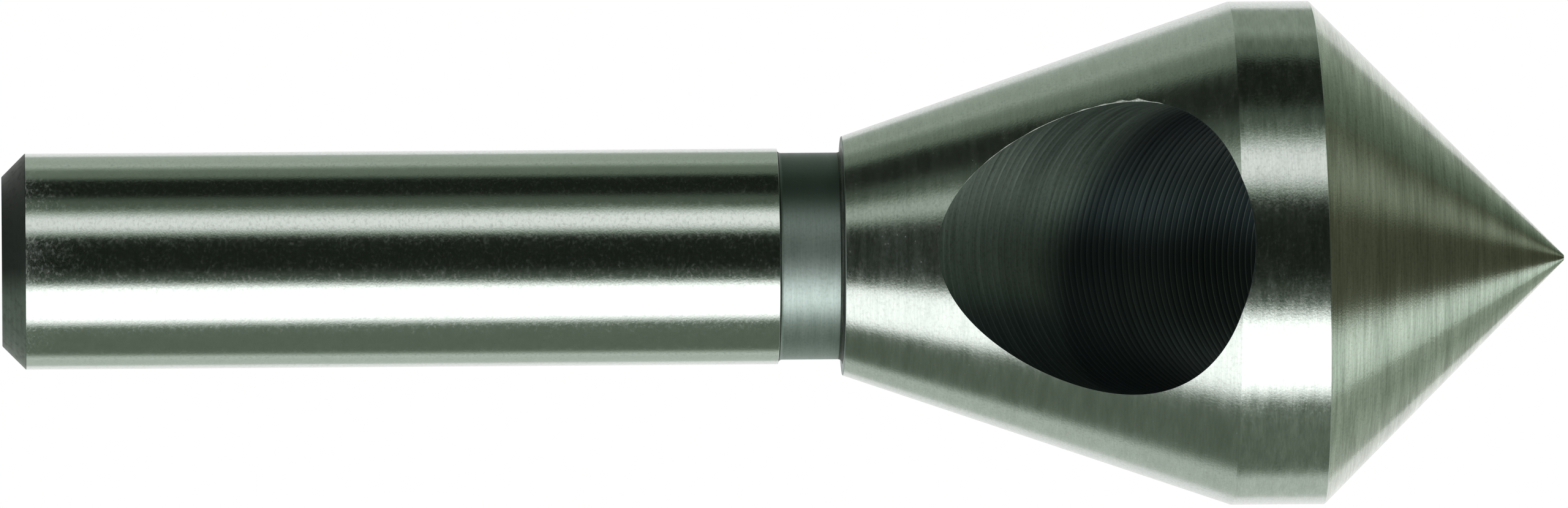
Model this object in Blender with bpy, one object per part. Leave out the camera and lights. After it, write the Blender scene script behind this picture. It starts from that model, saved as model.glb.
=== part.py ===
"""Cross hole countersink: a one-piece cutting tool, turned and ground from high-speed steel.

Sizes are in metres and +Z is up. The tool stands on the flat end of its shank, whose centre is the
origin, and its axis is +Z with the cutting tip at the top. The cross hole lies in the YZ plane: it
opens on the back taper towards -Y and leaves through the cutting cone towards +Y, where one side of
the opening is the cutting edge.
"""

import math

import bmesh
import bpy
from mathutils import Matrix, Vector

# Plain round shank, with a chamfer on its end
SHANK_DIAMETER = 0.0120
SHANK_LENGTH = 0.0431
SHANK_CHAMFER = 0.0013

# Narrow neck between the shank and the head, with a small radius in each corner
NECK_LENGTH = 0.0036
NECK_DEPTH = 0.00025
NECK_FILLET = 0.00025

# Head: a narrow back face, a long taper, a parallel land and the cutting cone
SHOULDER_STEP = 0.00065
HEAD_DIAMETER = 0.0280
BACK_TAPER_ANGLE = math.radians(18.8)
LAND_LENGTH = 0.00545
CONE_ANGLE = math.radians(90.0)
TIP_DIAMETER = 0.0003

# Relief of the cone: it falls away behind the cutting edge, and climbs back just ahead of it
RELIEF_PER_TURN = 0.0015
CUTTING_EDGE_AZIMUTH = math.radians(60.0)
CLIMB_BACK_ANGLE = math.radians(20.0)
TIP_LAG_ANGLE = math.radians(60.0)

# Cross hole: the steel left between it and the tip is measured down the cone
HOLE_DIAMETER = 0.0162
HOLE_ANGLE = math.radians(45.0)
HOLE_TIP_WALL = 0.0028

# Facets of the round surfaces
TURNED_STEPS = 120
HOLE_STEPS = 96
FILLET_STEPS = 3

FULL_TURN = 2.0 * math.pi
MERGE_DISTANCE = 1e-6
STEEL_COLOUR = (0.42, 0.45, 0.43, 1.0)
STEEL_ROUGHNESS = 0.28

SHANK_RADIUS = SHANK_DIAMETER / 2
NECK_RADIUS = SHANK_RADIUS - NECK_DEPTH
SHOULDER_RADIUS = SHANK_RADIUS + SHOULDER_STEP
HEAD_RADIUS = HEAD_DIAMETER / 2
TIP_RADIUS = TIP_DIAMETER / 2
HALF_CONE = CONE_ANGLE / 2
SHOULDER_Z = SHANK_LENGTH + NECK_LENGTH
LAND_START_Z = SHOULDER_Z + (HEAD_RADIUS - SHOULDER_RADIUS) / math.tan(BACK_TAPER_ANGLE)
LAND_END_Z = LAND_START_Z + LAND_LENGTH


def clear_scene():
    for scene_object in list(bpy.data.objects):
        bpy.data.objects.remove(scene_object, do_unlink=True)


def relief_drop(azimuth):
    """How far the cone lies below its cutting edge at this azimuth about the tool's axis."""
    behind = (CUTTING_EDGE_AZIMUTH - azimuth) % FULL_TURN
    ground = FULL_TURN - CLIMB_BACK_ANGLE
    deepest = RELIEF_PER_TURN * ground / FULL_TURN
    if behind <= ground:
        return deepest * behind / ground
    return deepest * (FULL_TURN - behind) / CLIMB_BACK_ANGLE


def tip_centre():
    """The relief leaves the tip a little off the axis, on the side just behind the cutting edge."""
    azimuth = CUTTING_EDGE_AZIMUTH - TIP_LAG_ANGLE
    offset = RELIEF_PER_TURN / 4
    slant_height = (HEAD_RADIUS - offset - TIP_RADIUS) / math.tan(HALF_CONE)
    z = LAND_END_Z - relief_drop(azimuth) + slant_height
    return Vector((offset * math.cos(azimuth), offset * math.sin(azimuth), z))


def quarter_arc(radius, z, size, rising):
    """A concave corner of the neck, as (radius, z) points from the shank's end towards the head."""
    points = []
    for step in range(FILLET_STEPS + 1):
        turn = math.pi / 2 * step / FILLET_STEPS
        if rising:
            points.append((radius + size * (1 - math.cos(turn)), z + size * math.sin(turn)))
        else:
            points.append((radius + size * (1 - math.sin(turn)), z + size * (1 - math.cos(turn))))
    return points


def turned_profile():
    """The half outline of everything below the cone, from the axis out and up to the land's end."""
    shank_corner = min(NECK_FILLET, NECK_DEPTH)
    shoulder_corner = min(NECK_FILLET, NECK_DEPTH + SHOULDER_STEP)
    profile = [(0.0, 0.0), (SHANK_RADIUS - SHANK_CHAMFER, 0.0), (SHANK_RADIUS, SHANK_CHAMFER)]
    if shank_corner < NECK_DEPTH:
        profile.append((SHANK_RADIUS, SHANK_LENGTH))
    profile += quarter_arc(NECK_RADIUS, SHANK_LENGTH, shank_corner, rising=False)
    profile += quarter_arc(NECK_RADIUS, SHOULDER_Z - shoulder_corner, shoulder_corner, rising=True)
    profile.append((SHOULDER_RADIUS, SHOULDER_Z))
    profile.append((HEAD_RADIUS, LAND_START_Z))
    profile.append((HEAD_RADIUS, LAND_END_Z))
    return profile


def turn_blank(mesh):
    """Spins the outline, then closes the top with the relieved cone and its small flat tip."""
    rings = [mesh.verts.new((radius, 0.0, z)) for radius, z in turned_profile()]
    edges = [mesh.edges.new(pair) for pair in zip(rings, rings[1:])]
    bmesh.ops.spin(
        mesh,
        geom=rings + edges,
        cent=(0.0, 0.0, 0.0),
        axis=(0.0, 0.0, 1.0),
        angle=FULL_TURN,
        steps=TURNED_STEPS,
    )
    bmesh.ops.remove_doubles(mesh, verts=mesh.verts, dist=MERGE_DISTANCE)
    rim = [edge for edge in mesh.edges if edge.is_boundary]
    raised = bmesh.ops.extrude_edge_only(mesh, edges=rim)["geom"]
    tip_edges = [part for part in raised if isinstance(part, bmesh.types.BMEdge)]
    tip_ring = [part for part in raised if isinstance(part, bmesh.types.BMVert)]
    for vertex in {vertex for edge in rim for vertex in edge.verts}:
        vertex.co.z -= relief_drop(math.atan2(vertex.co.y, vertex.co.x))
    centre = tip_centre()
    for vertex in tip_ring:
        outwards = Vector((vertex.co.x, vertex.co.y, 0.0)).normalized()
        vertex.co = centre + outwards * TIP_RADIUS
    bmesh.ops.contextual_create(mesh, geom=tip_edges)
    bmesh.ops.recalc_face_normals(mesh, faces=mesh.faces)


def new_object(name, fill):
    mesh = bmesh.new()
    fill(mesh)
    data = bpy.data.meshes.new(name)
    mesh.to_mesh(data)
    mesh.free()
    made = bpy.data.objects.new(name, data)
    bpy.context.scene.collection.objects.link(made)
    return made


def hole_crossing_z():
    """Where the hole's axis crosses the tool's, which leaves the stated wall between hole and tip."""
    behind_tip = HOLE_DIAMETER / 2 + HOLE_TIP_WALL * math.sin(HALF_CONE + HOLE_ANGLE)
    return tip_centre().z - behind_tip / math.sin(HOLE_ANGLE)


def hole_cutter(mesh):
    """A bar as wide as the hole, long enough to leave the head at both ends."""
    length = 2 * (HEAD_DIAMETER + HOLE_DIAMETER) / math.sin(HOLE_ANGLE)
    tilt = Matrix.Rotation(-HOLE_ANGLE, 4, "X")
    place = Matrix.Translation((0.0, 0.0, hole_crossing_z())) @ tilt
    bmesh.ops.create_cone(
        mesh,
        cap_ends=True,
        segments=HOLE_STEPS,
        radius1=HOLE_DIAMETER / 2,
        radius2=HOLE_DIAMETER / 2,
        depth=length,
        matrix=place,
    )


def bore_cross_hole(body):
    cutter = new_object("cross_hole_cutter", hole_cutter)
    cutter.hide_render = True
    cutter.display_type = "WIRE"
    bore = body.modifiers.new("cross_hole", "BOOLEAN")
    bore.operation = "DIFFERENCE"
    bore.object = cutter


def ground_steel():
    material = bpy.data.materials.new("ground_high_speed_steel")
    material.use_nodes = True
    shader = material.node_tree.nodes["Principled BSDF"]
    shader.inputs["Base Color"].default_value = STEEL_COLOUR
    shader.inputs["Metallic"].default_value = 1.0
    shader.inputs["Roughness"].default_value = STEEL_ROUGHNESS
    return material


def main():
    clear_scene()
    body = new_object("countersink_body", turn_blank)
    body.data.materials.append(ground_steel())
    body.data.shade_smooth()
    body.data.set_sharp_from_angle(angle=math.radians(15.0))
    bore_cross_hole(body)


main()
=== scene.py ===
"""The looks of the cross hole countersink: one piece of high-speed steel, turned, bored and ground.

Sizes are in metres. The tool stands on the end of its shank, at the origin, with its axis along +Z.
"""

import math

import bmesh
import bpy
import numpy as np
from mathutils import Matrix, Vector
from mathutils.geometry import delaunay_2d_cdt


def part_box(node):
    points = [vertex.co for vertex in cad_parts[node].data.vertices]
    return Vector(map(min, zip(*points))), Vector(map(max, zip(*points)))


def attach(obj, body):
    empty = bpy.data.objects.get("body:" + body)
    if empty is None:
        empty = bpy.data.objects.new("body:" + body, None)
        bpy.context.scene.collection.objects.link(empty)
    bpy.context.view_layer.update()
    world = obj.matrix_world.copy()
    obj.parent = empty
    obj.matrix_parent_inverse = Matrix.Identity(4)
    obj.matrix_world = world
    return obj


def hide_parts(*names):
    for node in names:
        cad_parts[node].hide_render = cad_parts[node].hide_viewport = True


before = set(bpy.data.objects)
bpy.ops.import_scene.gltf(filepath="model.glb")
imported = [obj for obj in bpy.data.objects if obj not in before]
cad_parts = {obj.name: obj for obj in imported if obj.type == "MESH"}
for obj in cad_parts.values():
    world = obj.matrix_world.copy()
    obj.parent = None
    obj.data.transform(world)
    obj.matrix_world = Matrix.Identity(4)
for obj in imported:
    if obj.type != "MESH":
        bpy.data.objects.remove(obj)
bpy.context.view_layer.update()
body_low, body_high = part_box("countersink_body")


# Shank: plain round bar of high-speed steel, ground between wheels to an almost mirror finish.
# Its flat end, which the tool stands on, has a turned chamfer.
MM = 0.001
SHANK_RADIUS = 6.0 * MM
SHANK_LENGTH = 43.1 * MM
SHANK_CHAMFER = 1.3 * MM
FOOT_RADIUS = SHANK_RADIUS - SHANK_CHAMFER
EDGE_BREAK = 0.025 * MM
SHANK_ROW_SPACING = 3.0 * MM

# The noise of the marks, and the stretch of it that counts for tone, for dull spots and for gloss
MARK_ROUGHNESS = 0.6
LINE_DETAIL = 3.0
BROAD_DETAIL = 2.0
GRAIN_DETAIL = 1.5
BROAD_RUN = 2.5
BROAD_APART = 6
TONE_STARTS = 0.72
TONE_ENDS = 1.28
PIT_STARTS = 0.48
PIT_ENDS = 0.74
PIT_STRETCH = 1.3
PIT_COLOUR = "#2c302b"
GLOSS_STARTS = 0.3
GLOSS_ENDS = 0.7
QUARTER_TURN_SHARE = 0.25

# Rows of the half outline: radius, height, the direction the face points (out and up) and its finish
outline = []


def linear(hex_colour):
    """The linear colour of an sRGB hex value."""
    levels = [int(hex_colour[start:start + 2], 16) / 255 for start in (1, 3, 5)]
    bright = [v / 12.92 if v <= 0.04045 else ((v + 0.055) / 1.055) ** 2.4 for v in levels]
    return bright + [1.0]


def add(tree, kind, inputs=None, **settings):
    """Adds a node: each input is a value, or the output socket that feeds it."""
    made = tree.nodes.new(kind)
    for name, value in settings.items():
        setattr(made, name, value)
    for name, value in (inputs or {}).items():
        if isinstance(value, bpy.types.NodeSocket):
            tree.links.new(value, made.inputs[name])
        else:
            made.inputs[name].default_value = value
    return made


def marks(tree, run, apart, detail, axis):
    """Uneven marks that run this far round an axis, and lie this far apart along it."""
    tilt, centre = axis
    place = add(tree, "ShaderNodeTexCoord").outputs["Object"]
    stretched = add(tree, "ShaderNodeMapping", {
        "Vector": place, "Location": centre, "Rotation": (tilt, 0, 0), "Scale": (run, run, apart),
    }, vector_type="TEXTURE")
    return add(tree, "ShaderNodeTexNoise", {
        "Vector": stretched.outputs["Vector"], "Scale": 1.0, "Detail": detail, "Roughness": MARK_ROUGHNESS,
    }).outputs["Fac"]


def marked_colour(tree, light, dark, streaks, pits):
    """Light steel with darker streaks, and darker still in its dull spots."""
    tone = add(tree, "ShaderNodeMapRange", {
        "Value": streaks, "From Min": TONE_STARTS, "From Max": TONE_ENDS,
    }).outputs["Result"]
    bare = add(tree, "ShaderNodeMix", {
        "Factor": tone, "A": linear(dark), "B": linear(light),
    }, data_type="RGBA")
    return add(tree, "ShaderNodeMix", {
        "Factor": pits, "A": bare.outputs[2], "B": linear(PIT_COLOUR),
    }, data_type="RGBA").outputs[2]


def marked_relief(tree, fine, line_height, bumps, grain_height):
    """The direction of the surface where fine lines and grain stand this high."""
    lines = add(tree, "ShaderNodeMath", {0: fine, 1: line_height}, operation="MULTIPLY").outputs[0]
    height = add(tree, "ShaderNodeMath", {0: bumps, 1: grain_height, 2: lines}, operation="MULTIPLY_ADD")
    return add(tree, "ShaderNodeBump", {
        "Height": height.outputs[0], "Distance": 1.0, "Strength": 1.0,
    }).outputs["Normal"]


def marked_gloss(tree, gloss, broad, pitted, duller):
    """Roughness that changes from streak to streak, and is higher in the dull spots."""
    streaked = add(tree, "ShaderNodeMapRange", {
        "Value": broad, "From Min": GLOSS_STARTS, "From Max": GLOSS_ENDS,
        "To Min": gloss[0], "To Max": gloss[1],
    }).outputs["Result"]
    return add(tree, "ShaderNodeMath", {
        0: pitted, 1: duller, 2: streaked,
    }, operation="MULTIPLY_ADD").outputs[0]


def cut_steel(name, light, dark, gloss, lines, grain, pits, anisotropy=0.0, tilt=0.0, centre=(0, 0, 0)):
    """High-speed steel with fine parallel lines that the grit or the tool left round an axis.

    Lines and grain each hold how far a mark runs, how far apart marks are and how high they stand.
    Pits holds the size of small dull spots, how dark they are and how much duller. The grit's real
    lines are about 0.02 mm apart, too fine to show, so they are drawn three to six times as coarse.
    """
    made = bpy.data.materials.new(name)
    made.use_nodes = True
    tree = made.node_tree
    axis = (tilt, centre)
    fine = marks(tree, lines[0], lines[1], LINE_DETAIL, axis)
    broad = marks(tree, lines[0] * BROAD_RUN, lines[1] * BROAD_APART, BROAD_DETAIL, axis)
    bumps = marks(tree, grain[0], grain[1], GRAIN_DETAIL, axis)
    spots = marks(tree, pits[0] * PIT_STRETCH, pits[0], LINE_DETAIL, axis)
    pitted = add(tree, "ShaderNodeMapRange", {
        "Value": spots, "From Min": PIT_STARTS, "From Max": PIT_ENDS,
    }).outputs["Result"]
    darker = add(tree, "ShaderNodeMath", {0: pitted, 1: pits[1]}, operation="MULTIPLY").outputs[0]
    streaks = add(tree, "ShaderNodeMath", {0: fine, 1: broad}, operation="ADD").outputs[0]
    tangent = add(tree, "ShaderNodeTangent", direction_type="UV_MAP", uv_map="round_and_along")
    shader = tree.nodes["Principled BSDF"]
    shader.inputs["Metallic"].default_value = 1.0
    shader.inputs["Anisotropic"].default_value = anisotropy
    shader.inputs["Anisotropic Rotation"].default_value = QUARTER_TURN_SHARE
    fed = {
        "Base Color": marked_colour(tree, light, dark, streaks, darker),
        "Roughness": marked_gloss(tree, gloss, broad, pitted, pits[2]),
        "Normal": marked_relief(tree, fine, lines[2], bumps, grain[2]),
        "Tangent": tangent.outputs["Tangent"],
    }
    for socket, output in fed.items():
        tree.links.new(output, shader.inputs[socket])
    return made


def one_side(tree, unshaded_from, full_from, share):
    """How much painted shade lies on one side of a face: it fades out between these two X places."""
    place = add(tree, "ShaderNodeTexCoord").outputs["Object"]
    side = add(tree, "ShaderNodeSeparateXYZ", {0: place}).outputs["X"]
    return add(tree, "ShaderNodeMapRange", {
        "Value": side, "From Min": unshaded_from, "From Max": full_from, "To Max": share,
    }, interpolation_type="SMOOTHSTEP").outputs["Result"]


def cover(finish, colour, share):
    """Lays another colour over a finish, to a share that differs from place to place."""
    tree = finish.node_tree
    shader = tree.nodes["Principled BSDF"]
    under = shader.inputs["Base Color"].links[0].from_socket
    covered = add(tree, "ShaderNodeMix", {
        "Factor": share, "A": under, "B": linear(colour),
    }, data_type="RGBA")
    tree.links.new(covered.outputs[2], shader.inputs["Base Color"])


def straight(start, end, finish, spacing=SHANK_ROW_SPACING, edges=(EDGE_BREAK, EDGE_BREAK)):
    """A straight stretch of the half outline, held back at each end where its edge is broken."""
    start, end = np.array(start), np.array(end)
    length = np.linalg.norm(end - start)
    way = (end - start) / length
    steps = max(1, round(length / spacing))
    for step in range(steps + 1):
        radius, height = start + way * (edges[0] + (length - sum(edges)) * step / steps)
        outline.append((radius, height, way[1], -way[0], finish))


# Hardened steel: the end was turned before hardening and not ground since, so it kept its dark scale.
# One side of it is darkened further, as painted shade.
hardened_scale_and_shade = cut_steel(
    "hardened_steel_scale_and_painted_shade", "#5c685d", "#4a554b", gloss=(0.40, 0.50),
    lines=(5 * MM, 0.12 * MM, 0.002 * MM), grain=(0.12 * MM, 0.08 * MM, 0.002 * MM),
    pits=(0.3 * MM, 0.3, 0.1),
)
# Painted shade: near-black laid over one side of the end and its chamfer.
foot_painted_shade = one_side(hardened_scale_and_shade.node_tree, unshaded_from=2.6 * MM, full_from=0.4 * MM, share=0.9)
cover(hardened_scale_and_shade, "#1d211e", foot_painted_shade)
straight((0.0, 0.0), (FOOT_RADIUS, 0.0), hardened_scale_and_shade, edges=(0.0, EDGE_BREAK))
straight((FOOT_RADIUS, 0.0), (SHANK_RADIUS, SHANK_CHAMFER), hardened_scale_and_shade)

# Centreless ground steel: sharp bands of light, with a faint grain where they end.
ground_shank = cut_steel(
    "centreless_ground_steel", "#c8cfc9", "#c1c8c2", gloss=(0.12, 0.15),
    lines=(0.3 * MM, 0.1 * MM, 0.0003 * MM), grain=(0.11 * MM, 0.09 * MM, 0.0022 * MM),
    pits=(0.16 * MM, 0.07, 0.12),
)
straight((SHANK_RADIUS, SHANK_CHAMFER), (SHANK_RADIUS, SHANK_LENGTH), ground_shank)


# Neck: a narrow groove, turned where the shank meets the head so that the grinding wheel can run out.
# It keeps its dull turned finish, and has a small radius in each corner.
NECK_LENGTH = 3.6 * MM
NECK_DEPTH = 0.25 * MM
NECK_FILLET = 0.25 * MM
FILLET_STEPS = 6
NECK_RADIUS = SHANK_RADIUS - NECK_DEPTH
NECK_START_Z = SHANK_LENGTH + NECK_FILLET
SHOULDER_Z = SHANK_LENGTH + NECK_LENGTH
NECK_END_Z = SHOULDER_Z - NECK_FILLET
FILLET_CENTRE_RADIUS = NECK_RADIUS + NECK_FILLET


def fillet(height, first, last, finish):
    """A hollow corner of the neck round this height, between two angles from the outward direction."""
    for angle in np.radians(np.linspace(first, last, FILLET_STEPS + 1)):
        out, up = math.cos(angle), math.sin(angle)
        radius = FILLET_CENTRE_RADIUS - NECK_FILLET * out
        outline.append((radius, height - NECK_FILLET * up, out, up, finish))


# Turned steel: a dull grey, with the lines of the lathe tool round it. Two sides of the neck are darkened,
# as painted shade.
turned_neck = cut_steel(
    "turned_steel", "#b8c5c1", "#a5b4ae", gloss=(0.47, 0.51),
    lines=(2 * MM, 0.08 * MM, 0.001 * MM), grain=(0.2 * MM, 0.15 * MM, 0.0055 * MM),
    pits=(0.14 * MM, 0.18, 0.0), anisotropy=0.2,
)
# Painted shade on two sides of the neck, darker on the far side.
far_side_painted_shade = one_side(turned_neck.node_tree, unshaded_from=0.2 * MM, full_from=-3.5 * MM, share=0.95)
cover(turned_neck, "#57675f", far_side_painted_shade)
near_side_painted_shade = one_side(turned_neck.node_tree, unshaded_from=2.4 * MM, full_from=4.0 * MM, share=0.45)
cover(turned_neck, "#57675f", near_side_painted_shade)

# Painted shade: the corners of the neck are made dark and dull.
corner_painted_shade = cut_steel(
    "painted_shade_in_the_corner", "#565d57", "#3a403b", gloss=(0.5, 0.6),
    lines=(1 * MM, 0.08 * MM, 0.002 * MM), grain=(0.12 * MM, 0.08 * MM, 0.003 * MM),
    pits=(0.1 * MM, 0.5, 0.0),
)
fillet(NECK_START_Z, 90, 45, corner_painted_shade)
fillet(NECK_START_Z, 45, 0, turned_neck)
straight((NECK_RADIUS, NECK_START_Z), (NECK_RADIUS, NECK_END_Z), turned_neck, edges=(0.0, 0.0))
fillet(NECK_END_Z, 0, -90, corner_painted_shade)


# Head: a narrow back face, a long back taper and the parallel land, ground round the tool's axis with
# a coarser wheel than the shank, so their bands of light are softer and streaked.
SHOULDER_STEP = 0.65 * MM
BACK_TAPER_ANGLE = math.radians(18.8)
LAND_LENGTH = 5.45 * MM
HEAD_ROW_SPACING = 0.75 * MM
BACK_FACE_GAP = 0.01 * MM
HEAD_RADIUS = (body_high.x - body_low.x) / 2
SHOULDER_RADIUS = SHANK_RADIUS + SHOULDER_STEP
LAND_START_Z = SHOULDER_Z + (HEAD_RADIUS - SHOULDER_RADIUS) / math.tan(BACK_TAPER_ANGLE)
LAND_END_Z = LAND_START_Z + LAND_LENGTH

# Ground steel, on the taper: bright and a little soft, with faint streaks round it.
ground_taper = cut_steel(
    "ground_taper_steel", "#c4cbc5", "#b6bdb7", gloss=(0.16, 0.21),
    lines=(1.2 * MM, 0.08 * MM, 0.0012 * MM), grain=(0.15 * MM, 0.12 * MM, 0.0034 * MM),
    pits=(0.16 * MM, 0.12, 0.08), anisotropy=0.1,
)
# Ground steel, on the land: finished finer than the taper, so its bands end more sharply.
ground_land = cut_steel(
    "ground_land_steel", "#c8cfc9", "#b4bbb5", gloss=(0.14, 0.19),
    lines=(0.8 * MM, 0.08 * MM, 0.0010 * MM), grain=(0.15 * MM, 0.12 * MM, 0.0032 * MM),
    pits=(0.16 * MM, 0.06, 0.08), anisotropy=0.1,
)
straight(
    (SHANK_RADIUS, SHOULDER_Z), (SHOULDER_RADIUS, SHOULDER_Z), turned_neck,
    edges=(BACK_FACE_GAP, EDGE_BREAK),
)
straight((SHOULDER_RADIUS, SHOULDER_Z), (HEAD_RADIUS, LAND_START_Z), ground_taper, HEAD_ROW_SPACING)
first_land_row = len(outline)
straight((HEAD_RADIUS, LAND_START_Z), (HEAD_RADIUS, LAND_END_Z), ground_land, HEAD_ROW_SPACING)
first_cone_row = len(outline)


# Cutting cone: ninety degrees, ground last, dull and streaked round the axis. It falls away behind
# the cutting edge for relief, climbs back just ahead of it, and ends in a small blunt tip.
TIP_RADIUS = 0.15 * MM
TIP_BREAK = 0.02 * MM
TIP_Z = body_high.z
RELIEF_PER_TURN = 1.5 * MM
CUTTING_EDGE_AZIMUTH = math.radians(60.0)
CLIMB_BACK_ANGLE = math.radians(20.0)
TIP_OFFSET = RELIEF_PER_TURN / 4
FULL_TURN = 2 * math.pi
NUDGE = 1e-4

# Ground steel, on the cone: the grit's streaks spread each light across them, so it looks brushed.
ground_cone = cut_steel(
    "ground_cone_steel", "#d6ddd1", "#a6ada1", gloss=(0.22, 0.26),
    lines=(3 * MM, 0.1 * MM, 0.002 * MM), grain=(0.12 * MM, 0.09 * MM, 0.0040 * MM),
    pits=(0.14 * MM, 0.15, 0.04), anisotropy=1.0,
)
straight(
    (HEAD_RADIUS, LAND_END_Z), (TIP_RADIUS, TIP_Z), ground_cone, HEAD_ROW_SPACING,
    edges=(EDGE_BREAK, TIP_BREAK),
)
last_cone_row = len(outline) - 1
straight((TIP_RADIUS, TIP_Z), (0.0, TIP_Z), ground_cone, edges=(TIP_BREAK, 0.0))

profile = np.array([row[:4] for row in outline])
steps_along = np.hypot(*np.diff(profile[:, :2], axis=0).T)
outline_along = np.concatenate([[0.0], np.cumsum(steps_along)])
land_start = outline_along[first_land_row]
rim = outline_along[first_cone_row - 1:first_cone_row + 1].mean()
tip = outline_along[last_cone_row]


def relief_drop(azimuth):
    """How far the cone's rim lies below the cutting edge at this azimuth."""
    behind = (CUTTING_EDGE_AZIMUTH - azimuth) % FULL_TURN
    ground = FULL_TURN - CLIMB_BACK_ANGLE
    share = np.minimum(behind / ground, (FULL_TURN - behind) / CLIMB_BACK_ANGLE)
    return RELIEF_PER_TURN * ground / FULL_TURN * share


def blank_point(azimuth, along):
    """A point of the solid blank, by its azimuth and its distance along the half outline."""
    radius = np.interp(along, outline_along, profile[:, 0])
    height = np.interp(along, outline_along, profile[:, 1])
    height = height - relief_drop(azimuth) * np.interp(along, [land_start, rim, tip], [0, 1, 0])
    lean = TIP_OFFSET * np.interp(along, [rim, tip], [0, 1])
    return np.stack([radius * np.cos(azimuth) + lean, radius * np.sin(azimuth), height], axis=-1)


def blank_normal(azimuth, along):
    """The direction that the blank's true surface faces there."""
    out = np.interp(along, outline_along, profile[:, 2])
    up = np.interp(along, outline_along, profile[:, 3])
    normal = np.stack([out * np.cos(azimuth), out * np.sin(azimuth), up], axis=-1)
    around = blank_point(azimuth + NUDGE, along) - blank_point(azimuth - NUDGE, along)
    ruled = np.cross(around, blank_point(azimuth, tip) - blank_point(azimuth, rim))
    on_cone = (along > rim + EDGE_BREAK / 2) & (along < tip + TIP_BREAK / 2)
    normal = np.where(on_cone[..., None], ruled, normal)
    return normal / np.linalg.norm(normal, axis=-1, keepdims=True)


# Cross hole: bored at a slant from the back taper to the far side of the cone, where one side of its
# opening is the cutting edge. The boring tool left a ring at each turn, and a small burr at the back.
HOLE_RADIUS = 8.1 * MM
HOLE_ANGLE = math.radians(45.0)
HOLE_TIP_WALL = 2.8 * MM
HOLE_REACH = 40.0 * MM
HOLE_COLUMNS = 240
HALF_CONE = math.radians(45.0)
FEED_PER_TURN = 0.49 * MM
RING_HEIGHT = 0.032 * MM
RING_WIDTH = 0.09
CUTTING_EDGE = 0.015 * MM
BACK_EDGE = 0.012 * MM
BURR_WIDTH = 0.20 * MM
BURR_AT_DEGREES = (112, 125, 165, 174, 184, 192)
BURR_SHARES = (0, 0.35, 0.4, 1, 1, 0)
BURR_TEETH = 110
BURR_SEED = 5
CONE_SEARCH_STEPS = 6
HOLE_SEARCH_STEPS = 40

HOLE_SIDE = np.array([1.0, 0.0, 0.0])
HOLE_DOWN = np.array([0.0, math.cos(HOLE_ANGLE), -math.sin(HOLE_ANGLE)])
HOLE_WAY = np.array([0.0, math.sin(HOLE_ANGLE), math.cos(HOLE_ANGLE)])
behind_tip = HOLE_RADIUS + HOLE_TIP_WALL * math.sin(HALF_CONE + HOLE_ANGLE)
HOLE_CENTRE = np.array([0.0, 0.0, TIP_Z - behind_tip / math.sin(HOLE_ANGLE)])


def hole_point(turn, along, radius):
    """A point round the hole's axis, by its turn about it and its distance along it."""
    across = np.cos(turn)[..., None] * HOLE_SIDE + np.sin(turn)[..., None] * HOLE_DOWN
    return HOLE_CENTRE + np.asarray(radius)[..., None] * across + along[..., None] * HOLE_WAY


def place_on_cone(x, y, z):
    """The azimuth of a point about the cone's leaning middle, and how near it is to the tip."""
    to_tip = 0.0
    for _ in range(CONE_SEARCH_STEPS):
        azimuth = np.arctan2(y, x - TIP_OFFSET * to_tip)
        rim_z = LAND_END_Z - relief_drop(azimuth)
        to_tip = (z - rim_z) / (TIP_Z - rim_z)
    return azimuth, to_tip


def on_blank(point):
    """How deep a point lies under the nearest of taper, land and cone, and its place there."""
    x, y, z = np.moveaxis(point, -1, 0)
    azimuth = np.arctan2(y, x)
    cone_azimuth, to_tip = place_on_cone(x, y, z)
    cone_radius = HEAD_RADIUS + (TIP_RADIUS - HEAD_RADIUS) * to_tip
    cone_depth = cone_radius - np.hypot(x - TIP_OFFSET * to_tip, y)
    land_depth = HEAD_RADIUS - np.hypot(x, y)
    taper_depth = land_depth + (z - LAND_START_Z) * math.tan(BACK_TAPER_ANGLE)
    up_land = (z - LAND_START_Z) / (LAND_END_Z - relief_drop(azimuth) - LAND_START_Z)
    along_cone = rim + np.clip(to_tip, 0, 1) * (tip - rim)
    along_land = land_start + up_land * (rim - land_start)
    along_taper = land_start + (z - LAND_START_Z) / math.cos(BACK_TAPER_ANGLE)
    depths = np.stack([taper_depth, land_depth, cone_depth])
    nearest = depths.argmin(axis=0)
    along = np.choose(nearest, [along_taper, along_land, along_cone])
    return depths.min(axis=0), np.where(nearest == 2, cone_azimuth, azimuth), along


def hole_end(turn, radius, direction):
    """How far along the hole each line of its wall comes out of the blank."""
    inside = np.zeros_like(turn)
    outside = np.full_like(turn, HOLE_REACH)
    for _ in range(HOLE_SEARCH_STEPS):
        halfway = (inside + outside) / 2
        buried = on_blank(hole_point(turn, direction * halfway, radius))[0] > 0
        inside = np.where(buried, halfway, inside)
        outside = np.where(buried, outside, halfway)
    return direction * inside


def uneven(count, knots, seed):
    """A smooth closed run of random values from 0 to 1."""
    random = np.random.default_rng(seed)
    values = random.random(knots)
    places = np.arange(count) / count * knots
    return np.interp(places, np.arange(knots + 1), np.append(values, values[0]))


# Bored steel, hardened after boring, with fine lines round the hole. Its dark depth is painted shade, laid
# on below.
bored_wall = cut_steel(
    "bored_steel_painted_shade", "#97a89c", "#88988d", gloss=(0.44, 0.52),
    lines=(3 * MM, 0.07 * MM, 0.0015 * MM), grain=(0.12 * MM, 0.08 * MM, 0.0015 * MM),
    pits=(0.15 * MM, 0.3, 0.0), anisotropy=0.3, tilt=-HOLE_ANGLE, centre=HOLE_CENTRE,
)
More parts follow.
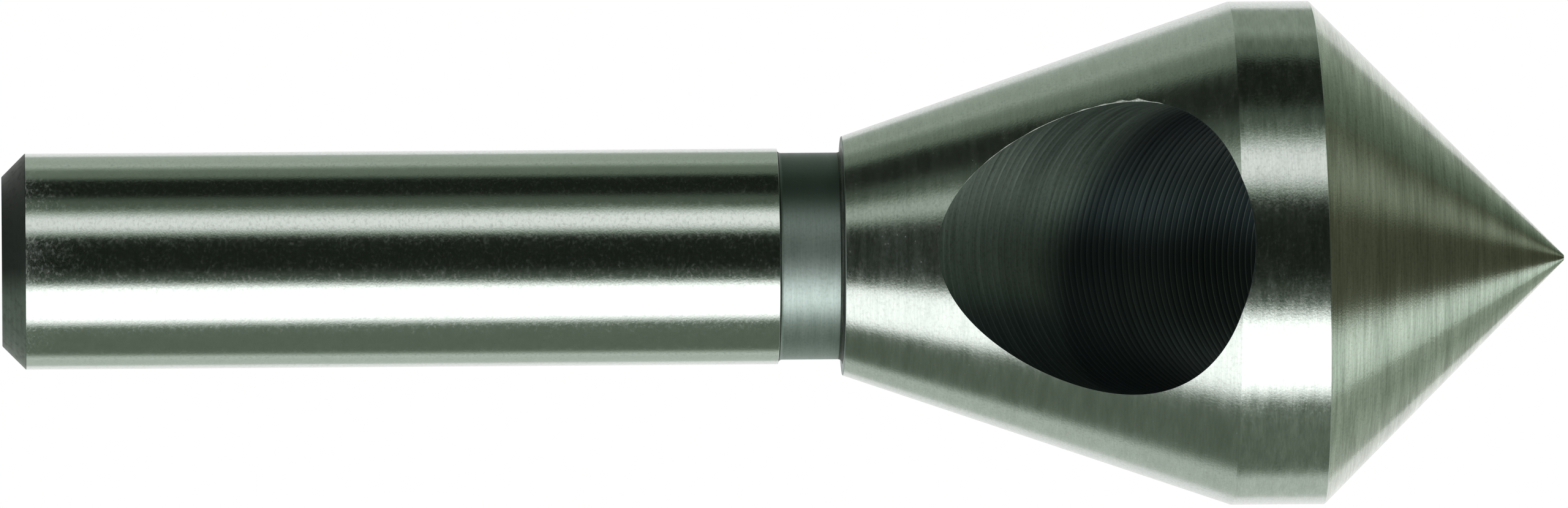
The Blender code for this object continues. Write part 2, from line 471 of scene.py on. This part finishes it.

# Painted shade: the hole is painted blue-black towards its depth and on its +X side, and stays light at its
# mouth.
SHADE_SLANT = 0.45
SHADE_STARTS = -12.7 * MM
SHADE_FULL = -8.2 * MM
DEEPEST_STARTS = -4.0 * MM
DEEPEST_FULL = 2.0 * MM
wall_tree = bored_wall.node_tree
wall_place = add(wall_tree, "ShaderNodeUVMap", uv_map="round_and_along").outputs[0]
round_hole, along_hole, _ = add(wall_tree, "ShaderNodeSeparateXYZ", {0: wall_place}).outputs
wall_spot = add(wall_tree, "ShaderNodeTexCoord").outputs["Object"]
wall_side = add(wall_tree, "ShaderNodeSeparateXYZ", {0: wall_spot}).outputs["X"]
slanted = add(wall_tree, "ShaderNodeMath", {
    0: wall_side, 1: SHADE_SLANT / HEAD_RADIUS, 2: along_hole,
}, operation="MULTIPLY_ADD").outputs[0]
deep = add(wall_tree, "ShaderNodeMapRange", {
    "Value": slanted, "From Min": SHADE_STARTS / HEAD_RADIUS, "From Max": SHADE_FULL / HEAD_RADIUS,
}, interpolation_type="SMOOTHSTEP").outputs["Result"]
shaded = one_side(wall_tree, unshaded_from=0.6 * MM, full_from=4.2 * MM, share=0.82)
wall_painted_shade = add(wall_tree, "ShaderNodeMath", {0: deep, 1: shaded}, operation="MAXIMUM").outputs[0]
deepest = add(wall_tree, "ShaderNodeMapRange", {
    "Value": along_hole, "From Min": DEEPEST_STARTS / HEAD_RADIUS, "From Max": DEEPEST_FULL / HEAD_RADIUS,
}, interpolation_type="SMOOTHSTEP").outputs["Result"]
# Painted shade: blue-black over the depth and the +X side of the wall, and darker still at its deepest.
cover(bored_wall, "#434d52", wall_painted_shade)
cover(bored_wall, "#2c353a", deepest)

# The crests of the rings are painted paler, as fine lines: partly rubbed wear, partly painted highlight.
CREST_LINE_WIDTH = 1.3 * RING_WIDTH
CREST_LINE_SHARE = 0.20
feeds = add(wall_tree, "ShaderNodeMath", {
    0: along_hole, 1: HEAD_RADIUS / FEED_PER_TURN,
}, operation="MULTIPLY").outputs[0]
past_crest = add(wall_tree, "ShaderNodeMath", {0: feeds, 1: round_hole}, operation="SUBTRACT").outputs[0]
off_crest = add(wall_tree, "ShaderNodeMath", {0: past_crest, 1: 0.5}, operation="PINGPONG").outputs[0]
crest_wear_and_highlight = add(wall_tree, "ShaderNodeMapRange", {
    "Value": off_crest, "From Max": CREST_LINE_WIDTH, "To Min": CREST_LINE_SHARE, "To Max": 0.0,
}).outputs["Result"]
cover(bored_wall, "#c8d2cf", crest_wear_and_highlight)

# Torn steel: a thin burr that the boring tool pushed up at the back edge, dull, and painted near-white as a
# glint.
burr_with_painted_glint = cut_steel(
    "raised_burr_painted_glint", "#f2f6f2", "#c4ccc4", gloss=(0.5, 0.7),
    lines=(0.5 * MM, 0.1 * MM, 0.001 * MM), grain=(0.12 * MM, 0.12 * MM, 0.012 * MM),
    pits=(0.15 * MM, 0.2, 0.1),
)

hole_turns = (np.arange(HOLE_COLUMNS) + 0.5) * FULL_TURN / HOLE_COLUMNS
burr = np.interp(np.degrees(hole_turns), BURR_AT_DEGREES, BURR_SHARES)
back_break = BACK_EDGE + BURR_WIDTH * burr * uneven(HOLE_COLUMNS, BURR_TEETH, BURR_SEED) ** 2
front_break = np.full(HOLE_COLUMNS, CUTTING_EDGE)
openings = []
for direction, broken in ((-1.0, back_break), (1.0, front_break)):
    lip = hole_end(hole_turns, HOLE_RADIUS + broken, direction)
    _, lip_azimuth, lip_along = on_blank(hole_point(hole_turns, lip, HOLE_RADIUS + broken))
    bare_end = hole_end(hole_turns, np.full(HOLE_COLUMNS, HOLE_RADIUS), direction)
    openings.append({"azimuth": lip_azimuth, "along": lip_along, "wall_end": bare_end - direction * broken})


# Surface: the outline is rolled round the axis in fine columns, with both openings of the hole cut out
# of it, and the hole's wall and its broken edges close it again, so the tool is one closed skin.
COLUMNS = 240
SHEET_RADIUS = 10.0 * MM
CLEARANCE = 0.08 * MM
EDGE_ROW_REACH = 0.1 * MM
JOIN_TOLERANCE = 1e-7
NEVER_ZERO = 1e-30

# The blank's skin, flattened to a sheet: azimuth across and distance along the outline upwards
sheet_azimuths = np.linspace(-math.pi, math.pi, COLUMNS + 1)
grid_x, grid_y = np.meshgrid(sheet_azimuths * SHEET_RADIUS, outline_along)
sheet = np.stack([grid_x.ravel(), grid_y.ravel()], axis=1)
sheet_rows = np.arange(len(outline_along)).repeat(COLUMNS + 1)
polygons = [
    np.stack([opening["azimuth"] * SHEET_RADIUS, opening["along"]], axis=1) for opening in openings
]


def within(points, polygon):
    """Whether each point lies in the closed polygon."""
    x, y = points[:, :1], points[:, 1:]
    x0, y0 = polygon.T
    x1, y1 = np.roll(polygon, -1, axis=0).T
    left_of = x < (x1 - x0) * (y - y0) / (y1 - y0 + NEVER_ZERO) + x0
    crosses = ((y0 > y) != (y1 > y)) & left_of
    return crosses.sum(axis=1) % 2 == 1


keep = np.ones(len(sheet), bool)
for polygon in polygons:
    too_near = np.hypot(*(sheet[:, None] - polygon[None]).T).T.min(axis=1) < CLEARANCE
    keep &= ~too_near & ~within(sheet, polygon)
kept_index = np.cumsum(keep) - 1

# Edges that the triangles have to follow: both ends of the land, and the rim of each opening
flat_points = sheet[keep]
ties = []
for row, row_along in enumerate(outline_along):
    if np.abs(row_along - [land_start, rim]).min() < EDGE_ROW_REACH:
        in_row = np.flatnonzero(keep & (sheet_rows == row))
        ties += list(zip(kept_index[in_row[:-1]].tolist(), kept_index[in_row[1:]].tolist()))
for polygon in polygons:
    first = len(flat_points)
    flat_points = np.concatenate([flat_points, polygon])
    ties += [(first + i, first + (i + 1) % len(polygon)) for i in range(len(polygon))]

flat_vectors = [Vector(point) for point in flat_points.tolist()]
flat, _, triangles, *_ = delaunay_2d_cdt(flat_vectors, ties, [], 0, JOIN_TOLERANCE)
flat = np.array([tuple(point) for point in flat])
triangles = np.array([tuple(corners) for corners in triangles])
middles = flat[triangles].mean(axis=1)
solid = np.ones(len(triangles), bool)
for polygon in polygons:
    solid &= ~within(middles, polygon)
triangles, middles = triangles[solid], middles[solid]

blank_azimuth, blank_along = flat[:, 0] / SHEET_RADIUS, flat[:, 1]
blank_points = blank_point(blank_azimuth, blank_along)
blank_normals = blank_normal(blank_azimuth, blank_along)
blank_places = np.stack([blank_azimuth / FULL_TURN, blank_along / HEAD_RADIUS], axis=1)
blank_count = len(blank_points)

# The hole's wall: rows that follow the feed of the boring tool, cut off at both openings. The rings
# are worn low towards the back opening.
WORN_AT = (-18 * MM, -15 * MM, -11 * MM, -7 * MM)
WORN_SHARES = (0.15, 0.55, 0.8, 1.0)
RINGS_FADE = 2
first_turn = math.floor(min(openings[0]["wall_end"]) / FEED_PER_TURN) - 1
last_turn = math.ceil(max(openings[1]["wall_end"]) / FEED_PER_TURN) + 1
row_places = [-RING_WIDTH, 0, RING_WIDTH, 0.5]
wall_rows = np.add.outer(np.arange(first_turn, last_turn + 1), row_places).ravel()
wall_turns = np.append(hole_turns, hole_turns[0] + FULL_TURN)
wall_along = (wall_rows[:, None] + wall_turns / FULL_TURN) * FEED_PER_TURN
back_end, front_end = (np.append(opening["wall_end"], opening["wall_end"][0]) for opening in openings)
to_opening = np.minimum(wall_along - back_end, front_end - wall_along)
clear = np.clip(to_opening / FEED_PER_TURN * RINGS_FADE, 0, 1)
worn = np.interp(wall_along, WORN_AT, WORN_SHARES)
wall_along = np.clip(wall_along, back_end, front_end)
wall_turn = wall_turns + np.zeros_like(wall_along)
wall_points = hole_point(wall_turn, wall_along, np.full(wall_along.shape, HOLE_RADIUS))
to_axis = -(np.cos(wall_turn)[..., None] * HOLE_SIDE + np.sin(wall_turn)[..., None] * HOLE_DOWN)

wall_index = blank_count + np.arange(wall_along.size).reshape(wall_along.shape)
lower_left, lower_right = wall_index[:-1, :-1], wall_index[:-1, 1:]
upper_left, upper_right = wall_index[1:, :-1], wall_index[1:, 1:]
quads = np.stack([lower_left, upper_left, upper_right, lower_right], axis=-1).reshape(-1, 4)
rise = np.abs(np.diff(wall_along, axis=0))
quads = quads[(rise[:, :-1] + rise[:, 1:]).ravel() > 0]

SEAM_MARGIN = 0.01
TURN_TOLERANCE = 1e-6


def lip_of(opening_number):
    """The skin's open edge round one opening, as (turn about the hole, point) in order."""
    sides = np.concatenate([triangles[:, [0, 1]], triangles[:, [1, 2]], triangles[:, [2, 0]]])
    pairs, uses = np.unique(np.sort(sides, axis=1), axis=0, return_counts=True)
    loose = np.unique(pairs[uses == 1])
    inner = np.abs(blank_azimuth[loose]) < math.pi - SEAM_MARGIN
    inner &= (blank_along[loose] > 0) & (blank_along[loose] < outline_along[-1])
    ahead = blank_azimuth[loose] > 0
    loose = loose[inner & (ahead if opening_number else ~ahead)]
    offset = blank_points[loose] - HOLE_CENTRE
    turn = np.arctan2(offset @ HOLE_DOWN, offset @ HOLE_SIDE) % FULL_TURN
    order = np.argsort(turn)
    return list(zip(turn[order], loose[order].tolist()))


def join_edges(outer, inner):
    """Triangles between two closed edges, both in order of their turn about the hole."""
    made = []
    i = j = 0
    while i < len(outer) or j < len(inner):
        next_outer = outer[i + 1][0] if i + 1 < len(outer) else outer[0][0] + FULL_TURN
        next_inner = inner[j + 1][0] if j + 1 < len(inner) else inner[0][0] + FULL_TURN
        a, b = outer[i % len(outer)][1], inner[j % len(inner)][1]
        if j >= len(inner) or (i < len(outer) and next_outer <= next_inner + TURN_TOLERANCE):
            made.append((a, outer[(i + 1) % len(outer)][1], b))
            i += 1
        else:
            made.append((a, inner[(j + 1) % len(inner)][1], b))
            j += 1
    return made


edge_faces = []
for opening_number, end_row in ((0, 0), (1, -1)):
    wall_edge = list(zip(hole_turns.tolist(), wall_index[end_row, :-1].tolist()))
    edge_faces += join_edges(lip_of(opening_number), wall_edge)
burred = np.zeros(blank_count + wall_along.size, bool)
burred[wall_index[0, :-1]] = burr > 0

# Each face's finish, by the row of the outline that it lies on
finish_list = [
    burr_with_painted_glint, hardened_scale_and_shade, ground_shank, turned_neck, corner_painted_shade, ground_taper, ground_land,
    ground_cone, bored_wall,
]
BURR_SLOT = finish_list.index(burr_with_painted_glint)
WALL_SLOT = finish_list.index(bored_wall)
outline_finish = np.array([finish_list.index(row[4]) for row in outline])
outline_row = np.clip(np.searchsorted(outline_along, middles[:, 1], side="right") - 1, 0, len(outline) - 1)
face_finish = np.concatenate([
    outline_finish[outline_row],
    np.full(len(quads), WALL_SLOT),
    [BURR_SLOT if burred[list(face)].any() else WALL_SLOT for face in edge_faces],
])

# Wall points within the rings get their direction from the raised rings, the others from the axis.
on_skin = np.zeros(blank_count)
wall_normals = np.where(clear[..., None] > 0, 0.0, to_axis).reshape(-1, 3)
wall_places = np.stack([wall_turn / FULL_TURN, wall_along / HEAD_RADIUS], axis=-1).reshape(-1, 2)
feeds_along = np.concatenate([on_skin, (wall_along / FEED_PER_TURN).ravel()])
point_values = {
    "surface_normal": np.concatenate([blank_normals, wall_normals]),
    "to_hole_axis": np.concatenate([np.zeros_like(blank_points), to_axis.reshape(-1, 3)]),
    "ring_share": np.concatenate([on_skin, (clear * worn).ravel()]),
    "rings_along": feeds_along,
    "ring": feeds_along - np.concatenate([on_skin, wall_turn.ravel() / FULL_TURN]),
}

skin = bpy.data.meshes.new("countersink")
every_point = np.concatenate([blank_points, wall_points.reshape(-1, 3)])
skin.from_pydata(every_point.tolist(), [], triangles.tolist() + quads.tolist() + edge_faces)
for finish in finish_list:
    skin.materials.append(finish)
for name, values in point_values.items():
    kind, field = ("FLOAT_VECTOR", "vector") if values.ndim == 2 else ("FLOAT", "value")
    skin.attributes.new(name, kind, "POINT").data.foreach_set(field, values.ravel())
skin.polygons.foreach_set("material_index", face_finish.astype(np.int32))
corner_points = np.zeros(len(skin.loops), np.int32)
skin.loops.foreach_get("vertex_index", corner_points)
places = np.concatenate([blank_places, wall_places])
skin.uv_layers.new(name="round_and_along").data.foreach_set("uv", places[corner_points].ravel())

# How much rings differ from each other, and from place to place
NOISE_LOW = 0.35
NOISE_HIGH = 0.65
LOWEST_RING = 0.55
LOWEST_PATCH = 0.6
PATCH_LENGTH = 3 * MM
RING_SEED = 11


def crest_height(tree, ring, given):
    """Full height on each whole turn of the feed, down to nothing half a ring's width away."""
    nearest = add(tree, "ShaderNodeMath", {0: ring}, operation="ROUND").outputs[0]
    off_ring = add(tree, "ShaderNodeMath", {0: ring, 1: nearest}, operation="SUBTRACT").outputs[0]
    distance = add(tree, "ShaderNodeMath", {0: off_ring}, operation="ABSOLUTE").outputs[0]
    return add(tree, "ShaderNodeMapRange", {
        "Value": distance, "From Min": 0.0, "From Max": given["Ring Width"], "To Min": 1.0, "To Max": 0.0,
    }).outputs["Result"]


def ring_size(tree, along, given):
    """A height of its own for each ring."""
    spot = add(tree, "ShaderNodeMath", {0: along, 1: given["Seed"]}, operation="ADD").outputs[0]
    each = add(tree, "ShaderNodeTexNoise", {"W": spot, "Scale": 1.0, "Detail": 1.0}, noise_dimensions="1D")
    return add(tree, "ShaderNodeMapRange", {
        "Value": each.outputs["Fac"], "From Min": NOISE_LOW, "From Max": NOISE_HIGH,
        "To Min": LOWEST_RING, "To Max": 1.0,
    }).outputs["Result"]


def patch_size(tree, given):
    """Patches where all rings are lower."""
    where = add(tree, "GeometryNodeInputPosition").outputs[0]
    scale = add(tree, "ShaderNodeMath", {0: 1.0, 1: given["Patch Length"]}, operation="DIVIDE").outputs[0]
    patch = add(tree, "ShaderNodeTexNoise", {"Vector": where, "Scale": scale, "Detail": 2.0})
    return add(tree, "ShaderNodeMapRange", {
        "Value": patch.outputs["Fac"], "From Min": NOISE_LOW, "From Max": NOISE_HIGH,
        "To Min": LOWEST_PATCH, "To Max": 1.0,
    }).outputs["Result"]


def ring_tree():
    """Raises the rings of the boring feed on the wall of the hole, each a little different."""
    tree = bpy.data.node_groups.new("boring_feed_rings", "GeometryNodeTree")
    tree.interface.new_socket("Geometry", in_out="INPUT", socket_type="NodeSocketGeometry")
    for name in ("Ring Height", "Ring Width", "Patch Length"):
        tree.interface.new_socket(name, in_out="INPUT", socket_type="NodeSocketFloat")
    tree.interface.new_socket("Seed", in_out="INPUT", socket_type="NodeSocketInt")
    tree.interface.new_socket("Geometry", in_out="OUTPUT", socket_type="NodeSocketGeometry")
    given = add(tree, "NodeGroupInput").outputs
    ring, along, share = [
        add(tree, "GeometryNodeInputNamedAttribute", {"Name": name}, data_type="FLOAT").outputs[0]
        for name in ("ring", "rings_along", "ring_share")
    ]
    way = add(tree, "GeometryNodeInputNamedAttribute", {"Name": "to_hole_axis"}, data_type="FLOAT_VECTOR")
    height = given["Ring Height"]
    parts = [crest_height(tree, ring, given), share, ring_size(tree, along, given), patch_size(tree, given)]
    for part in parts:
        height = add(tree, "ShaderNodeMath", {0: height, 1: part}, operation="MULTIPLY").outputs[0]
    offset = add(tree, "ShaderNodeVectorMath", {0: way.outputs[0], "Scale": height}, operation="SCALE")
    moved = add(tree, "GeometryNodeSetPosition", {
        "Geometry": given["Geometry"], "Offset": offset.outputs[0],
    })
    shape = add(tree, "GeometryNodeRealizeInstances", {"Geometry": moved.outputs[0]}).outputs[0]
    raised = add(tree, "FunctionNodeCompare", {
        0: share, 1: 0.0,
    }, data_type="FLOAT", operation="GREATER_THAN")
    painted = add(tree, "GeometryNodeSetMaterial", {
        "Geometry": shape, "Selection": raised.outputs[0], "Material": bored_wall,
    })
    add(tree, "NodeGroupOutput", {"Geometry": painted.outputs[0]})
    return tree


countersink = bpy.data.objects.new("countersink", skin)
bpy.context.scene.collection.objects.link(countersink)
rings_made = countersink.modifiers.new("boring_feed_rings", "NODES")
rings_made.node_group = ring_tree()
ring_sizes = {
    "Ring Height": RING_HEIGHT, "Ring Width": RING_WIDTH, "Patch Length": PATCH_LENGTH, "Seed": RING_SEED,
}
for socket in rings_made.node_group.interface.items_tree:
    if socket.in_out == "INPUT" and socket.name in ring_sizes:
        rings_made[socket.identifier] = ring_sizes[socket.name]
evaluated = countersink.evaluated_get(bpy.context.evaluated_depsgraph_get())
ringed = bpy.data.meshes.new_from_object(evaluated)
countersink.modifiers.remove(rings_made)
countersink.data = ringed

# The seam, the poles and the openings' edges are welded, and only the rings keep crisp edges.
WELD = 0.001 * MM
RING_CREASE = math.radians(5.0)
welded = bmesh.new()
welded.from_mesh(ringed)
bmesh.ops.remove_doubles(welded, verts=welded.verts, dist=WELD)
bmesh.ops.dissolve_degenerate(welded, edges=welded.edges, dist=WELD / 10)
bmesh.ops.recalc_face_normals(welded, faces=welded.faces)
for edge in welded.edges:
    crisp = edge.calc_face_angle(0.0) > RING_CREASE
    edge.smooth = not (crisp and all(face.material_index == WALL_SLOT for face in edge.link_faces))
welded.to_mesh(ringed)
welded.free()
ringed.shade_smooth()
true_normals = np.zeros(len(ringed.vertices) * 3)
ringed.attributes["surface_normal"].data.foreach_get("vector", true_normals)
ringed.normals_split_custom_set_from_vertices(true_normals.reshape(-1, 3).tolist())
for name in point_values:
    ringed.attributes.remove(ringed.attributes[name])

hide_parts("countersink_body")
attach(countersink, "root")


# Studio: a small pale floor, a tent of soft cloth panels round the tool, and a dim one above it.
# The background is plain white.
TENT_RADIUS = 500.0 * MM
TENT_BOTTOM = -520.0 * MM
TENT_TOP = 800.0 * MM
TENT_COLUMN_DEGREES = 2.0
TENT_ROWS = 67
TENT_OPENS = 150
HOOD_STARTS = 25
CAMERA_AZIMUTH = math.radians(2.06)

# Brightness between the panels at each elevation. Each panel has the azimuths where it starts and ends
# and its brightness at the same elevations, in degrees from the camera's side, and its soft borders.
ELEVATIONS = (-35, -5, 4, 14, 45, 56)
BASE_LEVELS = (0.026, 0.018, 0.016, 0.03, 0.05, 0.05)
PANELS = (
    {
        "starts": (-155,) * 6, "ends": (-122,) * 6, "borders": (12, 12),
        "levels": (0.66, 0.64, 0.64, 0.95, 0.36, 0.50),
    },
    {
        "starts": (-128,) * 6, "ends": (-80, -73, -74, -77, -84, -84), "borders": (14, 12),
        "levels": (0.12, 0.175, 0.150, 0.42, 0.30, 0.30),
    },
    {
        "starts": (-74, -69, -66, -71, -76, -76), "ends": (-32, -27, -28, -31, -40, -40),
        "borders": (14, 12), "levels": (1.70, 2.10, 2.30, 2.20, 1.30, 1.0),
    },
    {
        "starts": (-80, -75, -74, -75, -80, -80), "ends": (-22, -14, -15, -18, -25, -25),
        "borders": (8, 12), "levels": (0.08, 0.07, 0.06, 0.06, 0.05, 0.05),
    },
    {
        "starts": (33, 30, 30, 29, 28, 28), "ends": (51, 51, 51.5, 55, 60, 60),
        "borders": (14, 14), "levels": (0.58, 1.16, 1.30, 0.80, 0.38, 0.38),
    },
    {
        "starts": (50, 52, 54, 56, 60, 60), "ends": (68, 70, 68, 72, 75, 75),
        "borders": (8, 8), "levels": (0.08, 0.12, 0.09, 0.12, 0.06, 0.06),
    },
    {
        "starts": (100, 98, 101, 100, 102, 102), "ends": (122,) * 6, "borders": (8, 12),
        "levels": (0.27, 0.21, 0.15, 0.45, 0.20, 0.15),
    },
    {
        "starts": (118,) * 6, "ends": (155,) * 6, "borders": (12, 12),
        "levels": (0.30, 0.52, 0.33, 0.80, 0.20, 0.12),
    },
)


def stage_piece(name, points, faces, material):
    """A part of the room round the tool, which isn't part of the tool."""
    data = bpy.data.meshes.new(name)
    data.from_pydata(points, [], faces)
    data.materials.append(material)
    made = bpy.data.objects.new(name, data)
    bpy.context.scene.collection.objects.link(made)
    return made


def soft_step(value, middle, width):
    """From 0 to 1 round a middle value, over this width."""
    share = np.clip((value - middle) / width + 0.5, 0, 1)
    return share * share * (3 - 2 * share)


def tent_level(azimuth, elevation):
    """How bright the tent is there, with its azimuth counted from the camera's side, in degrees."""
    level = np.interp(elevation, ELEVATIONS, BASE_LEVELS)
    for panel in PANELS:
        start = np.interp(elevation, ELEVATIONS, panel["starts"])
        end = np.interp(elevation, ELEVATIONS, panel["ends"])
        start_border, end_border = panel["borders"]
        across = soft_step(azimuth, start, start_border) * soft_step(-azimuth, -end, end_border)
        level = level + np.interp(elevation, ELEVATIONS, panel["levels"]) * across
    return level


def lit_cloth(name, dim_tint, bright_tint):
    """Cloth lit from behind, whose tint changes from dim to bright places."""
    made = bpy.data.materials.new(name)
    made.use_nodes = True
    tree = made.node_tree
    tree.nodes.clear()
    glow = add(tree, "ShaderNodeAttribute", attribute_name="glow", attribute_type="GEOMETRY")
    tint = add(tree, "ShaderNodeMix", {
        "Factor": glow.outputs["Fac"], "A": linear(dim_tint), "B": linear(bright_tint),
    }, data_type="RGBA")
    lit = add(tree, "ShaderNodeEmission", {"Color": tint.outputs[2], "Strength": glow.outputs["Fac"]})
    add(tree, "ShaderNodeOutputMaterial", {"Surface": lit.outputs[0]})
    return made


def hang(name, points, hung, levels, cloth):
    """A cloth through a grid of points, with its brightness at each of them."""
    count = np.arange(levels.size).reshape(levels.shape)
    corners = [count[:-1, :-1], count[:-1, 1:], count[1:, 1:], count[1:, :-1]]
    faces = np.stack(corners, axis=-1).reshape(-1, 4)
    faces = faces[hung.ravel()[faces].all(axis=1)]
    made = stage_piece(name, points.reshape(-1, 3).tolist(), faces.tolist(), cloth)
    made.data.attributes.new("glow", "FLOAT", "POINT").data.foreach_set("value", levels.ravel())
    made.visible_camera = False


tent_azimuth, tent_height = np.meshgrid(
    np.arange(-180, 181, TENT_COLUMN_DEGREES), np.linspace(TENT_BOTTOM, TENT_TOP, TENT_ROWS))
tent_elevation = np.degrees(np.arctan2(tent_height - LAND_START_Z, TENT_RADIUS))
tent_turn = np.radians(-90.0 - tent_azimuth) + CAMERA_AZIMUTH
tent_points = np.stack([
    TENT_RADIUS * np.cos(tent_turn), TENT_RADIUS * np.sin(tent_turn), tent_height,
], axis=-1)
hung = (np.abs(tent_azimuth) <= TENT_OPENS) | (tent_elevation >= HOOD_STARTS)
tent_levels = tent_level(tent_azimuth, tent_elevation)
hang("light_tent", tent_points, hung, tent_levels, lit_cloth("side_cloth", "#e1ffda", "#ffffff"))

# The roof is dim, with bright strips that run away from the camera, on the curve that the cone mirrors.
# Each strip lies this far to the side, as a share of the roof's height, and is this bright.
ROOF_DIM = 0.1
ROOF_REACH = 0.69
ROOF_COLUMNS = 139
ROOF_ROWS = 47
ROOF_HEIGHT = TENT_TOP - LAND_START_Z
STRIP_REACH = 0.25
STRIP_BORDER = 0.3
ROOF_STRIPS = (
    (-0.69, 0.22), (-0.63, 0.50), (-0.57, 1.35), (-0.48, 1.60), (-0.42, 1.50), (-0.31, 1.40),
    (-0.28, 0.65), (-0.25, 0.20), (-0.20, 0.13), (0.0, 0.105), (0.16, 0.12), (0.22, 0.24),
    (0.28, 0.40), (0.33, 0.44), (0.39, 0.40), (0.46, 0.30), (0.56, 0.18), (0.69, 0.20),
)
sideways, away = np.meshgrid(
    np.linspace(-ROOF_REACH, ROOF_REACH, ROOF_COLUMNS), np.linspace(-ROOF_REACH, ROOF_REACH, ROOF_ROWS))
cosine, sine = math.cos(CAMERA_AZIMUTH), math.sin(CAMERA_AZIMUTH)
roof_points = np.stack([
    (-sideways * cosine - away * sine) * ROOF_HEIGHT,
    (away * cosine - sideways * sine) * ROOF_HEIGHT,
    np.full(away.shape, TENT_TOP),
], axis=-1)
mirrored = sideways**2 / np.sqrt(1 - sideways**2)
past_near_end = soft_step(away, mirrored - STRIP_REACH, STRIP_BORDER)
before_far_end = soft_step(-away, -mirrored - STRIP_REACH, STRIP_BORDER)
near_curve = past_near_end * before_far_end
roof_levels = ROOF_DIM + (np.interp(sideways, *zip(*ROOF_STRIPS)) - ROOF_DIM) * near_curve
everywhere = np.ones(away.shape, dtype=bool)
hang("tent_roof", roof_points, everywhere, roof_levels, lit_cloth("roof_cloth", "#ebefc4", "#eefff8"))

# The floor is pale, and turns as white as the room towards its edge, so only the shadow shows.
FLOOR_RADIUS = 26.0 * MM
FLOOR_SIDE_DEGREES = 3
FLOOR_FADE_STARTS = 10 * MM
FLOOR_FADE_ENDS = 0.95 * FLOOR_RADIUS
FLOOR_GLOW = 0.62
FLOOR_ROUGHNESS = 0.9


def background_rays(tree):
    """One where the camera sees the surface, straight on or in metal or glass, else zero."""
    rays = add(tree, "ShaderNodeLightPath").outputs
    seen = add(tree, "ShaderNodeMath", {0: rays["Is Camera Ray"], 1: rays["Is Glossy Ray"]}, operation="ADD")
    return add(tree, "ShaderNodeMath", {
        0: seen.outputs[0], 1: rays["Is Transmission Ray"],
    }, operation="ADD").outputs[0]


pale_floor = bpy.data.materials.new("pale_floor")
pale_floor.use_nodes = True
floor_tree = pale_floor.node_tree
floor_place = add(floor_tree, "ShaderNodeTexCoord").outputs["Object"]
outwards = add(floor_tree, "ShaderNodeVectorMath", {0: floor_place}, operation="LENGTH").outputs["Value"]
whiteness = add(floor_tree, "ShaderNodeMapRange", {
    "Value": outwards, "From Min": FLOOR_FADE_STARTS, "From Max": FLOOR_FADE_ENDS,
}, interpolation_type="SMOOTHSTEP").outputs["Result"]
painted = add(floor_tree, "ShaderNodeMix", {
    "Factor": whiteness, "A": linear("#f4f5f3"), "B": linear("#000000"),
}, data_type="RGBA").outputs[2]
glow = add(floor_tree, "ShaderNodeMapRange", {"Value": whiteness, "To Min": FLOOR_GLOW}).outputs["Result"]
seen_glow = add(floor_tree, "ShaderNodeMath", {
    0: glow, 1: background_rays(floor_tree),
}, operation="MULTIPLY").outputs[0]
floor_shader = floor_tree.nodes["Principled BSDF"]
floor_shader.inputs["Roughness"].default_value = FLOOR_ROUGHNESS
floor_shader.inputs["Specular IOR Level"].default_value = 0.0
floor_shader.inputs["Emission Color"].default_value = linear("#ffffff")
floor_tree.links.new(painted, floor_shader.inputs["Base Color"])
floor_tree.links.new(seen_glow, floor_shader.inputs["Emission Strength"])
disc_angles = [math.radians(degrees) for degrees in range(0, 360, FLOOR_SIDE_DEGREES)]
disc = [(FLOOR_RADIUS * math.cos(angle), FLOOR_RADIUS * math.sin(angle), 0.0) for angle in disc_angles]
stage_piece("pale_floor", disc, [tuple(range(len(disc)))], pale_floor)

# The room lights the tool a little less than it shows itself.
ROOM_LIGHT = 0.7
world = bpy.data.worlds.new("white_room")
bpy.context.scene.world = world
world.use_nodes = True
air = world.node_tree
strength = add(air, "ShaderNodeMapRange", {"Value": background_rays(air), "To Min": ROOM_LIGHT})
air.nodes["Background"].inputs["Color"].default_value = linear("#ffffff")
air.links.new(strength.outputs["Result"], air.nodes["Background"].inputs["Strength"])


# Camera: far off and level with the end of the shank, rolled a quarter turn so that the tool lies
# across the picture with its tip to the right.
CAMERA_DISTANCE = 1259.5 * MM
CAMERA_HEIGHT = 0.0
CAMERA_ROLL = math.radians(0.405)
CAMERA_LENS = 520.0
AIM = Vector((-0.13 * MM, 0.0, 43.5 * MM))

lens = bpy.data.cameras.new("camera")
lens.lens = CAMERA_LENS
lens.sensor_width = 36.0
lens.clip_start = 0.1
lens.clip_end = 20.0
camera = bpy.data.objects.new("camera", lens)
bpy.context.scene.collection.objects.link(camera)
bpy.context.scene.camera = camera
stand = Vector((
    CAMERA_DISTANCE * math.sin(CAMERA_AZIMUTH), -CAMERA_DISTANCE * math.cos(CAMERA_AZIMUTH), CAMERA_HEIGHT,
))
back = (stand - AIM).normalized()
right = (Vector((0, 0, 1)) - back * back.z).normalized()
up = back.cross(right)
turned = Matrix((right, up, back)).transposed() @ Matrix.Rotation(-CAMERA_ROLL, 3, "Z")
camera.matrix_world = Matrix.Translation(stand) @ turned.to_4x4()

bpy.context.scene.view_settings.view_transform = "Standard"
